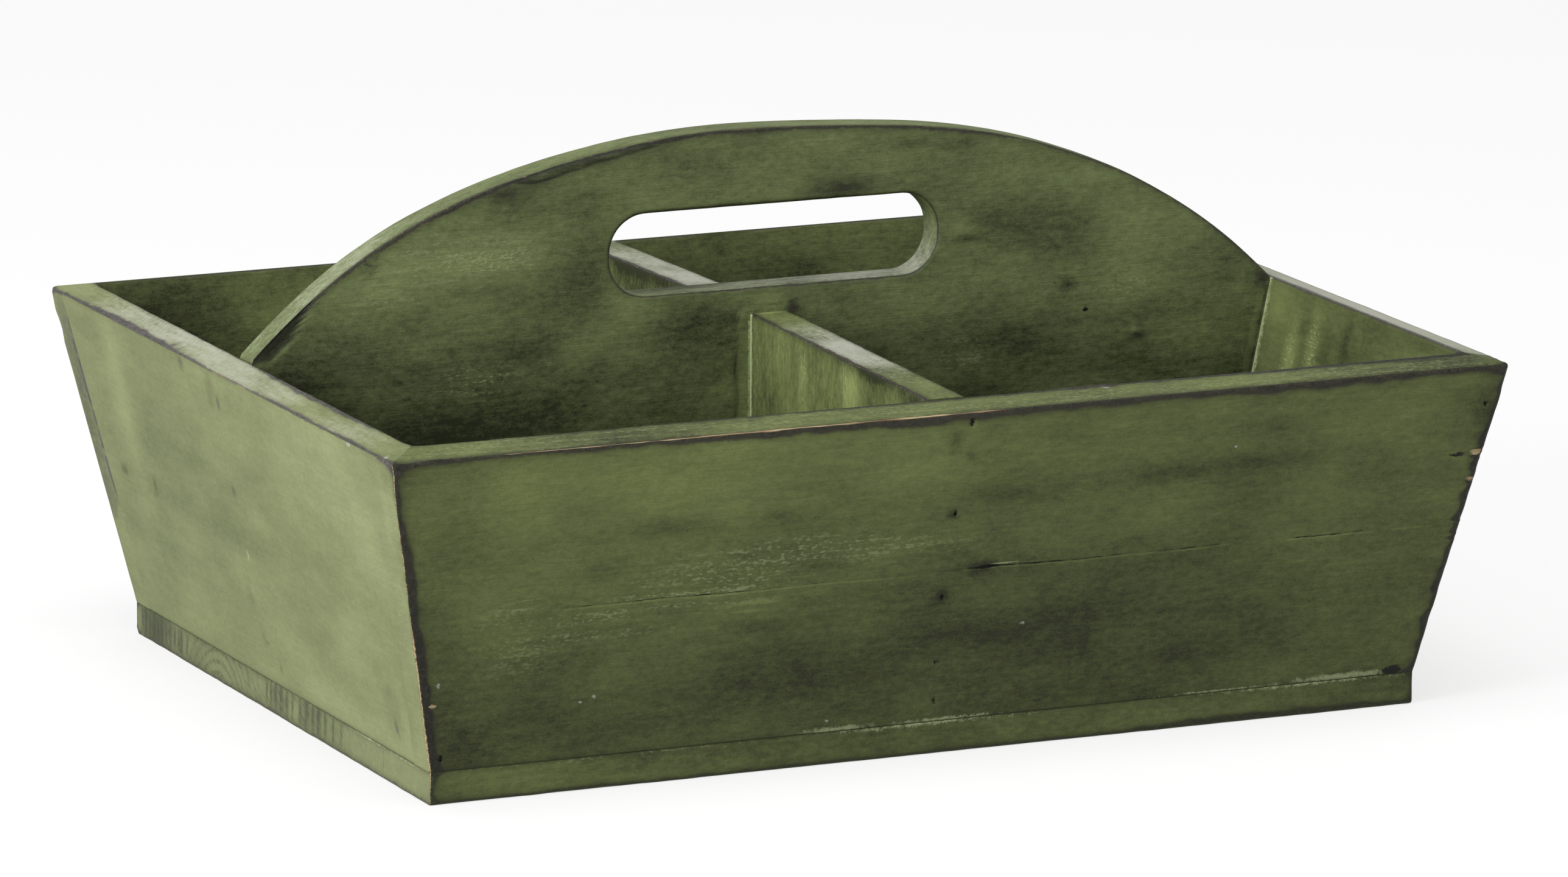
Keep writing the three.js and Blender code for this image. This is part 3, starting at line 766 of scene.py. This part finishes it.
wall_paint = painted("wall_paint", "X", WALL_GREENS, seed=5)
for name, wall, out, marks in (("front_wall", "front", -1, FRONT_MARKS),
                               ("back_wall", "back", 1, BACK_MARKS)):
    sides = leaning((0, out, 0), BOTTOM_HALF_WIDTH)
    for end, way in (("left", -1), ("right", 1)):
        sides[f"end_{end}"] = flat((way * BOTTOM_HALF_LENGTH, 0, BOTTOM_THICKNESS), (way * COS, 0, -SIN))
        sides[f"hip_{end}"] = flat((way * RIM_HALF_LENGTH, 0, RIM), (way * SIN, 0, COS))
    arrises = {(a, f"{b}_{end}"): JOINT for a in ("inner", "foot") for b in ("end", "hip")
               for end in ("left", "right")}
    arrises |= {("top", f"hip_{end}"): FLUSH for end in ("left", "right")}
    arrises |= {("inner", "end_left"): FLUSH, ("inner", "hip_left"): FLUSH}
    arrises |= {("outer", "top"): front_rim_arris, ("inner", "top"): splintered,
                ("outer", "foot"): Wear(0.3, 0.3), ("inner", "foot"): JOINT,
                ("outer", "end_left"): front_left_arris, ("outer", "end_right"): toothed,
                ("outer", "hip_left"): Wear(LEFT_CORNER, 1.6, 0.8),
                ("outer", "hip_right"): Wear(RIGHT_CORNER, 1.8, 1.0),
                ("hip_left", "end_left"): hip_arris(LEFT_CORNER),
                ("hip_right", "end_right"): hip_arris(RIGHT_CORNER)}
    if out > 0:
        arrises |= {("end_left", "inner"): dashed, ("end_left", "outer"): back_left_arris}
        del arrises["inner", "end_left"], arrises["outer", "end_left"]

    def place(column, row, layer):
        z, lean = up_the_slope(row, layer)
        half = BOTTOM_HALF_LENGTH + (z - BOTTOM_THICKNESS) * SLOPE
        if z > RIM:
            half = RIM_HALF_LENGTH - (z - RIM) / SLOPE
        return column / RIM_HALF_LENGTH * half, out * (BOTTOM_HALF_WIDTH + lean), z

    joint = (JOINT_HEIGHT - BOTTOM_THICKNESS) / COS
    # more rows at the glue joint, at the pale lines under it and at the rim
    bm = block(lines(-RIM_HALF_LENGTH, RIM_HALF_LENGTH, 2.2),
               lines(0, FACE, 2.2, [(joint, 1.2, 0.2), (joint - 5.8, 2.4, 0.4), (FACE - 1.6, 1.6, 0.25)]),
               lines(0, WALL, 2.2, ends=THIN_STEPS), place)
    weather(bm, sides, arrises, marks, open_joint)
    for facet in bm.faces:
        # the ends are painted in one with the end walls
        middle = facet.calc_center_median()
        nearest = min(sides, key=lambda side: sides[side](middle)[0])
        facet.material_index = int(nearest.startswith(("end", "hip")))
    planks = [f"{wall}_wall_lower_plank", f"{wall}_wall_upper_plank"]
    settle(bm, name, planks, "wall_paint", wall_paint, end_paint)


# Carrying board
# One board, 12 mm thick, sawn to an arch by hand, with a slot for the fingers. It stands on the
# bottom and is nailed through the end walls. Its edges are rubbed dark and its slot is worn.
HANDLE_FRONT, HANDLE_BACK = -3, 9
HANDLE_HALF_LENGTH = RIM_HALF_LENGTH - WALL * COS
ARCH_RISE = 64.8
ARCH_FULLNESS = 2.74
# how far the sawn edge strays from its arch
SAWN = ((-188, 0), (-155, 0.9), (-88, -0.6), (-18, 0.9), (45, -0.65), (75, -0.65), (105, -0.45),
        (135, 0.2), (169, 0.65), (188, 0))
SLOT_HALF_LENGTH, SLOT_HALF_HEIGHT, SLOT_CORNER = 60, 13.85, 13
SLOT_RISE = 11.4
SLOT_MIDDLE = Vector((1, 0, INNER_RIM + SLOT_RISE + SLOT_HALF_HEIGHT))


def arch_top(x):
    """Height of the arch, with the waves that the saw left in it."""
    return INNER_RIM + ARCH_RISE * (1 - abs(x / HANDLE_HALF_LENGTH) ** ARCH_FULLNESS) + eased(SAWN, x)


def arch_side(p):
    """The arch as a side: the depth of a point under it, and the way that it faces."""
    climb = (arch_top(p.x + 1) - arch_top(p.x - 1)) / 2
    return (arch_top(p.x) - p.z) / math.hypot(1, climb), Vector((-climb, 0, 1)).normalized()


def slot_side(p):
    """The slot as a side, with its rounded corners."""
    off = p - SLOT_MIDDLE
    past = Vector((max(abs(off.x) - SLOT_HALF_LENGTH + SLOT_CORNER, 0), 0,
                   max(abs(off.z) - SLOT_HALF_HEIGHT + SLOT_CORNER, 0)))
    way = Vector((math.copysign(past.x, off.x), 0, math.copysign(past.z, off.z)))
    if not way.length:
        return -SLOT_CORNER, Vector((0, 0, -1))
    return past.length - SLOT_CORNER, -way.normalized()


handle_sides = {"front": flat((0, HANDLE_FRONT, 0), (0, -1, 0)),
                "back": flat((0, HANDLE_BACK, 0), (0, 1, 0)),
                "foot": flat((0, 0, BOTTOM_THICKNESS), (0, 0, -1)), "arch": arch_side, "slot": slot_side}
for end, way in (("end_left", -1), ("end_right", 1)):
    inner = way * (BOTTOM_HALF_LENGTH - WALL / COS)
    handle_sides[end] = flat((inner, 0, BOTTOM_THICKNESS), (way * COS, 0, -SIN))


FARTHEST = 260
HALVINGS = 24


def ray(angle, sides, outwards):
    """How far from the slot's middle a ray in the board meets one of the sides."""
    way = Vector((math.cos(angle), 0, math.sin(angle)))
    near, far = 0, FARTHEST
    for _ in range(HALVINGS):
        middle = (near + far) / 2
        inside = min(handle_sides[s](SLOT_MIDDLE + way * middle)[0] for s in sides) > 0
        near, far = (middle, far) if inside == outwards else (near, middle)
    return near


RAY_SPACING = 2.4
SMALL_TURN = 0.002
rays, angle = [], -math.pi / 2
while angle < 1.5 * math.pi:
    slot_reach = ray(angle, ["slot"], False)
    rim_reach = ray(angle, ["foot", "arch", "end_left", "end_right"], True)
    rays.append((angle, slot_reach, rim_reach))
    slot_pace = math.hypot(slot_reach, (ray(angle + SMALL_TURN, ["slot"], False) - slot_reach) / SMALL_TURN)
    angle += RAY_SPACING / max(rim_reach, 1.6 * slot_pace)
rays.append(rays[0])
HANDLE_STEPS = (0, 0.3, 0.7, 1.2, 1.8, 2.4, 3, 3.6, 4.3, 5.2, 6.5)
ROWS_BETWEEN = 40
handle_rows = [("slot", s) for s in HANDLE_STEPS]
handle_rows += [("between", i / ROWS_BETWEEN) for i in range(1, ROWS_BETWEEN)]
handle_rows += [("rim", s) for s in HANDLE_STEPS[::-1]]


def place(column, row, layer):
    angle, slot_reach, rim_reach = column
    start, step = row
    first, last = slot_reach + HANDLE_STEPS[-1], rim_reach - HANDLE_STEPS[-1]
    reach = {"slot": slot_reach + step, "between": first + (last - first) * step,
             "rim": rim_reach - step}[start]
    return SLOT_MIDDLE.x + math.cos(angle) * reach, layer, SLOT_MIDDLE.z + math.sin(angle) * reach


def arch_arris(p):
    """The arch's front arris: flattened by the saw on the left, and chipped at the left end."""
    radius = eased(((-100, 1.4), (-86, 3.6), (-60, 3.0), (-22, 1.3)), p.x)
    wax = eased(((-186, 1.8), (-100, 2), (-80, 1.3), (-34, 1.8), (30, 1.6), (120, 1), (186, 1)), p.x)
    return Wear(radius, near=wax, far=0.5, bare=0.06)


# depths under the arch of the chip at its left end, and of the flat that the saw left
CHIP = ((-188, 0), (-181, 4.2), (-174, 4.6), (-165, 0))
CHIP_END = -166
SAW_FLAT = ((-97, 1), (-84, 4.2), (-60, 3.4), (-30, 1.4))
SAW_FLAT_LOWEST = 140
DEEPEST_GOUGE = 0.7
# the strip beside the front cross board, up to a little over its top, and the right end's edge
STRIP_LEFT, STRIP_RIGHT, STRIP_TOP = -16, -7, 124.5
END_STRIP = 5


def worked(p, name):
    """What is on the board's front: the chip, the dark line under the flat that the saw left and
    painted shade on the flat itself, the filler by the cross board, and the line where it meets the
    right end wall."""
    if name != "front":
        return 0, {}
    if p.x < CHIP_END:
        inside = eased(CHIP, p.x) - arch_side(p)[0]
        return max(0, min(DEEPEST_GOUGE, inside)), {
            "wax": min(0.15, inside), "tone": -0.6 * (inside > 0) + 0.2 * (-1.6 < inside < -0.2)}
    if SAW_FLAT[0][0] < p.x < SAW_FLAT[-1][0] and p.z > SAW_FLAT_LOWEST:
        under = eased(SAW_FLAT, p.x)
        # the flat is darkened with painted shade, for the facet that the rounded arris doesn't show
        return 0, {"wax": 0.45 - abs(arch_side(p)[0] - under), "tone": -0.35 * (arch_side(p)[0] < under)}
    if STRIP_LEFT < p.x < STRIP_RIGHT and p.z < STRIP_TOP:
        ragged = noise.noise(Vector((0, 3, p.z / 9)))
        return 0, {"fill": 0.5 - abs(p.x + 8.3) if p.z < 122.5 else -9,
                   "tone": 0.22 * (p.x > -12.5 - ragged),
                   "wax": 0.2 + 0.6 * ragged - abs(p.x + 13 + ragged) if p.z < 112 else -9}
    end = handle_sides["end_right"](p)[0]
    if end < END_STRIP:
        return 0, {"wax": 0.4 + noise.noise(Vector((8, 0, p.z / 4))) - abs(end - 0.8),
                   "tone": 0.14 * (end < 4.2 and p.z < 116)}
    return 0, {}


def face(x, z):
    """A point on the board's front."""
    return Vector((x, HANDLE_FRONT, z))


HANDLE_MARKS = marks_on("front", face, "X", (
    # paler and darker paint over the face, with painted shade low down and in the corner by the left end wall
    (-130, 146, 24, 13, "tone", 0.34), (-106, 152, 20, 9, "tone", 0.2), (-98, 130, 14, 7, "tone", 0.12),
    (-72, 136, 13, 14, "tone", -0.3), (-92, 122, 14, 9, "tone", -0.22), (-23, 119, 16, 10, "tone", -0.26),
    # of the marks below, the ones at -120 and -172 are painted shade, low at the left and in the corner by
    # the left end wall
    (-55, 128, 8, 7, "tone", 0.1), (-120, 100, 50, 26, "tone", -0.2), (-172, 106, 20, 16, "tone", -0.4),
    (-66, 150, 8, 15, "tone", -0.18), (0, 168, 90, 10, "tone", -0.03), (45, 172, 12, 5, "tone", 0.12),
    (112, 160, 24, 7, "tone", 0.16), (132, 148, 14, 11, "tone", 0.18), (94, 150, 16, 9, "tone", -0.2),
    (108, 138, 16, 9, "tone", -0.2), (78, 128, 16, 10, "tone", 0.1), (133, 122, 16, 9, "tone", 0.14),
    (165, 130, 16, 14, "tone", -0.1), (100, 100, 50, 14, "tone", -0.18), (30, 104, 20, 22, "tone", -0.14),
    # the first mark below is painted shade over the whole lower face
    (0, 64, 0, 40, "tone", -0.36), (185, 121, 4, 4, "wax", 0.8),
    # scuffs
    (-107, 108, 16, 6, "chalk", 0.75), (-107, 108, 16, 6, "tone", 0.16), (-98, 149, 22, 5, "chalk", 0.75),
    (-137, 139, 14, 6, "chalk", 0.7), (-120, 152, 26, 8, "chalk", 0.6), (132, 122, 16, 7, "chalk", 0.65),
    (70, 103, 12, 8, "chalk", 0.5),
    # wax rubbed in over the slot and along the arch, and knots
    (27, 163.5, 8, 2.2, "wax", 0.5), (27, 165, 12, 4, "tone", -0.2), (52, 177, 7, 2.2, "tone", -0.3),
    (70, 176, 7, 2.2, "tone", -0.25), (-66, 168, 9, 2.4, "tone", -0.15), (110, 124, 2.2, 1.4, "wax", 0.8),
    (137, 104.4, 2.6, 1.6, "wax", 0.7), (136, 106.4, 3.2, 1.0, "tone", 0.5),
    (117, 115, 1.2, 0.7, "crack", 0.5), (105, 125, 0.9, 0.7, "crack", 0.4),
    (-146, 152, 2.4, 3.2, "wax", 0.4), (-98, 170.5, 5, 1.8, "wax", 0.5), (73, 143, 6, 1.6, "tone", -0.4),
    (70, 146, 6, 3, "tone", 0.2), (-2, 125.6, 16, 0.4, "wax", 0.5), (0, 127, 10, 3, "tone", 0.28),
    (8, 124.5, 2.6, 2.6, "wax", 0.9),
)) + (
    # the slot and the top of the arch are scuffed pale
    ("slot", Vector((30, 3, 133)), (40, 0, 4), "scuff", 0.55),
    ("slot", Vector((58, 3, 140)), (8, 0, 16), "scuff", 0.35),
    ("slot", Vector((-30, 3, 133)), (30, 0, 4), "scuff", 0.25),
    ("slot", Vector((0, 3, 133)), (80, 0, 12), "tone", -0.15),
    ("arch", Vector((-150, 3, 150)), (50, 0, 0), "tone", 0.06),
    ("arch", Vector((-158, 3, 150)), (60, 0, 0), "scuff", 0.33),
    ("arch", Vector((-60, 3, 160)), (120, 0, 0), "sawn", 0.2),
)

inner_paint = painted("inner_paint", "X", (rgb(50, 54, 35), rgb(140, 153, 101)), brushed=(1, 0.2, 0.68),
                      seed=7)
bm = block(rays, handle_rows, lines(HANDLE_FRONT, HANDLE_BACK, 2.2, ends=THIN_STEPS), place, ring=True)
arrises = {(a, b): JOINT for a in ("end_left", "end_right", "foot")
           for b in ("front", "back", "foot", "arch")}
arrises |= {("front", "arch"): arch_arris, ("back", "arch"): Wear(1.4, 1.2, 0.4, 0.1),
            ("front", "slot"): Wear(1.6, 0.8, 0.3), ("back", "slot"): Wear(1.6, 0.8, 0.3)}
weather(bm, handle_sides, arrises, HANDLE_MARKS, worked)
settle(bm, "carrying_board", ["handle_board"], "inner_paint", inner_paint)


# Cross boards
# Two short boards, 14 mm thick, nailed through the long walls and butted to the carrying board.
# Their tops climb a little towards it, and are rubbed pale where things have scraped them.
DIVIDER_LEFT, DIVIDER_RIGHT = -8, 6
DIVIDER_CLIMB = 2.4


def divider_marks(out, butt):
    """Worn paint: a pale scraped top, and smears that have run down the face in front. A painted
    shadow lies under the top's arris near the long wall, painted shade darkens the back board's
    face, and the faces are darker low down.
    """
    ahead = out < 0

    def at(y, z):
        return Vector((0, out * y, z))

    return marks_on("top", at, "Y", (
        (68, 122, 40 if ahead else 80, 0, "scuff", 0.8), (70, 122, 150, 0, "tone", -0.03),
        (60, 122, 50, 0, "sawn", 0.25),
    )) + (
        ("top", Vector((-2, butt + out * 1.5, 123)), (4, 1.6, 0), "tone", 0.5),
    ) + marks_on("left", at, "Y", (
        (46, 106, 5, 16, "tone", 0.42 * ahead), (46, 108, 4, 14, "chalk", 1.0 * ahead),
        (84, 112, 7, 9, "tone", 0.56 * ahead), (82, 113, 6, 8, "chalk", 1.2 * ahead),
        # a painted shadow under the top's arris, and a darker face: painted shade on the back board
        (96, 121, 26, 3, "tone", -0.4), (0, 110, 0, 0, "tone", -0.06 if ahead else -0.25),
        (abs(butt) + 0.6, 80, 1.1, 0, "fill", 0.7), (134, 116, 5, 4, "wax", 0.8),
        (60, 40, 0, 40, "tone", -0.3),
    ))


divider_paint = painted("divider_paint", "Z", WALL_GREENS, brushed=(0.9, 0.18, 0.8), scraped=(1.5, 0, 0.1),
                        seed=13)
for name, node, out, handle_face in (("front_cross_board", "front_divider", -1, HANDLE_FRONT),
                                     ("back_cross_board", "back_divider", 1, HANDLE_BACK)):
    foot = BOTTOM_HALF_WIDTH - WALL / COS
    rim = RIM_HALF_WIDTH - WALL * COS
    run = rim - abs(handle_face)
    sides = {"left": flat((DIVIDER_LEFT, 0, 0), (-1, 0, 0)), "right": flat((DIVIDER_RIGHT, 0, 0), (1, 0, 0)),
             "foot": flat((0, 0, BOTTOM_THICKNESS), (0, 0, -1)),
             "butt_handle": flat((0, handle_face, 0), (0, -out, 0)),
             "butt_wall": flat((0, out * foot, BOTTOM_THICKNESS), (0, out * COS, -SIN)),
             "top": flat((0, out * rim, INNER_RIM), (0, out * DIVIDER_CLIMB, run))}
    arrises = {("left", "top"): Wear(0.9, 0.8, 1.6, 0.06), ("right", "top"): Wear(0.9, 0.6, 1.1)}
    arrises |= {(a, b): JOINT for a in ("butt_handle", "butt_wall", "foot")
                for b in ("left", "right", "top", "foot")}

    def place(column, row, layer):
        reach = abs(handle_face) + (column - abs(handle_face)) * (
            foot + (rim - foot) * row / (INNER_RIM - BOTTOM_THICKNESS) - abs(handle_face)) / run
        climb = DIVIDER_CLIMB / (INNER_RIM - BOTTOM_THICKNESS) * (rim - column) / run
        z = BOTTOM_THICKNESS + row * (1 + climb)
        return layer, out * reach, z

    bm = block(lines(abs(handle_face), rim, 3), lines(0, INNER_RIM - BOTTOM_THICKNESS, 3),
               lines(DIVIDER_LEFT, DIVIDER_RIGHT, 2, ends=THIN_STEPS), place)
    weather(bm, sides, arrises, divider_marks(out, handle_face))
    settle(bm, name, [node], "inner_paint", divider_paint)


# Nails
# Plain wire nails with small flat heads, punched a little below the paint. Their heads have
# gone dark.
RUST_GRAINS = 2500
nail_steel = bpy.data.materials.new("nail_steel")
nail_steel.use_nodes = True
start = Wire(nail_steel.node_tree)
point = start.node("ShaderNodeTexCoord", output="Object")
rust = start.node("ShaderNodeTexNoise", None, {"Vector": point, "Scale": RUST_GRAINS, "Detail": 3})
surface = nail_steel.node_tree.nodes["Principled BSDF"]
tint = rust.fade(0.4, 0.7).blend(rgb(44, 42, 40), rgb(78, 58, 42))
nail_steel.node_tree.links.new(tint.socket, surface.inputs["Base Color"])
roughness = 0.45 + 0.3 * rust
nail_steel.node_tree.links.new(roughness.socket, surface.inputs["Roughness"])
surface.inputs["Metallic"].default_value = 0.7
for name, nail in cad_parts.items():
    if name.startswith("nail_"):
        nail.material_slots[0].material = nail_steel


# Floor, light and camera
# The box stands on a plain white floor in the light of a large window on its left.
# Sizes in this section are in metres.
PAPER_GREY, PAPER_GLOW = 0.3, 0.72


def white_paper():
    """Dull paper that looks white to the camera, and sends only its grey's share of light back."""
    material = bpy.data.materials.new("white_paper")
    material.use_nodes = True
    tree = material.node_tree
    tree.nodes.remove(tree.nodes["Principled BSDF"])
    start = Wire(tree)
    path = tree.nodes.new("ShaderNodeLightPath")
    seen = Wire(tree, path.outputs["Is Camera Ray"]) + Wire(tree, path.outputs["Is Glossy Ray"])
    seen += Wire(tree, path.outputs["Is Transmission Ray"])
    dull = start.node("ShaderNodeBsdfDiffuse", None, {"Color": (*[PAPER_GREY] * 3, 1)})
    glow = start.node("ShaderNodeEmission", None, {"Color": (1, 1, 1, 1), "Strength": PAPER_GLOW})
    lit = start.node("ShaderNodeAddShader", None, {0: dull, 1: glow})
    shown = start.node("ShaderNodeMixShader", None, {0: seen, 1: dull, 2: lit})
    tree.links.new(shown.socket, tree.nodes["Material Output"].inputs["Surface"])
    return material


FLOOR_HALF_WIDTH = 8
bm = bmesh.new()
bmesh.ops.create_grid(bm, x_segments=1, y_segments=1, size=FLOOR_HALF_WIDTH)
mesh = bpy.data.meshes.new("floor")
bm.to_mesh(mesh)
bm.free()
mesh.materials.append(white_paper())
floor = bpy.data.objects.new("floor", mesh)
scene.collection.objects.link(floor)

world = bpy.data.worlds.new("studio")
world.use_nodes = True
tree = world.node_tree
start = Wire(tree)
path = tree.nodes.new("ShaderNodeLightPath")
seen = Wire(tree, path.outputs["Is Camera Ray"]) + Wire(tree, path.outputs["Is Transmission Ray"])
ROOM_LIGHT = 0.5
strength = ROOM_LIGHT + (1 - ROOM_LIGHT) * seen
tree.nodes["Background"].inputs["Color"].default_value = (1, 1, 1, 1)
tree.links.new(strength.socket, tree.nodes["Background"].inputs["Strength"])
scene.world = world


def soft_light(name, at, towards, size, power):
    """A square light of some size and power, turned towards a point."""
    lamp = bpy.data.lights.new(name, "AREA")
    lamp.shape, lamp.size, lamp.energy = "SQUARE", size, power
    light = bpy.data.objects.new(name, lamp)
    aim = Vector(at) - Vector(towards)
    light.matrix_world = Matrix.Translation(at) @ aim.to_track_quat("Z", "Y").to_matrix().to_4x4()
    scene.collection.objects.link(light)


soft_light("window", (-2.2, -0.6, 0.75), (0, 0, 0.06), 1.3, 44)
soft_light("ceiling", (-0.3, -0.5, 2.3), (0, 0, 0.06), 1.4, 22)

CAMERA_PLACE = -1.41014, -3.11541, 0.81913
FOCAL_LENGTH, FILM_WIDTH = 238.64, 36
azimuth, elevation, roll = map(math.radians, (-24.446, 12.207, 0.329))
back = Vector((math.sin(azimuth) * math.cos(elevation), -math.cos(azimuth) * math.cos(elevation),
               math.sin(elevation)))
right = Vector((0, 0, 1)).cross(back).normalized()
turn = Matrix.Rotation(roll, 3, back)
axes = Matrix((turn @ right, turn @ back.cross(right), back)).transposed()
lens = bpy.data.cameras.new("camera")
lens.lens, lens.sensor_width, lens.clip_end = FOCAL_LENGTH, FILM_WIDTH, 20
camera = bpy.data.objects.new("camera", lens)
camera.matrix_world = Matrix.Translation(CAMERA_PLACE) @ axes.to_4x4()
scene.collection.objects.link(camera)
scene.camera = camera
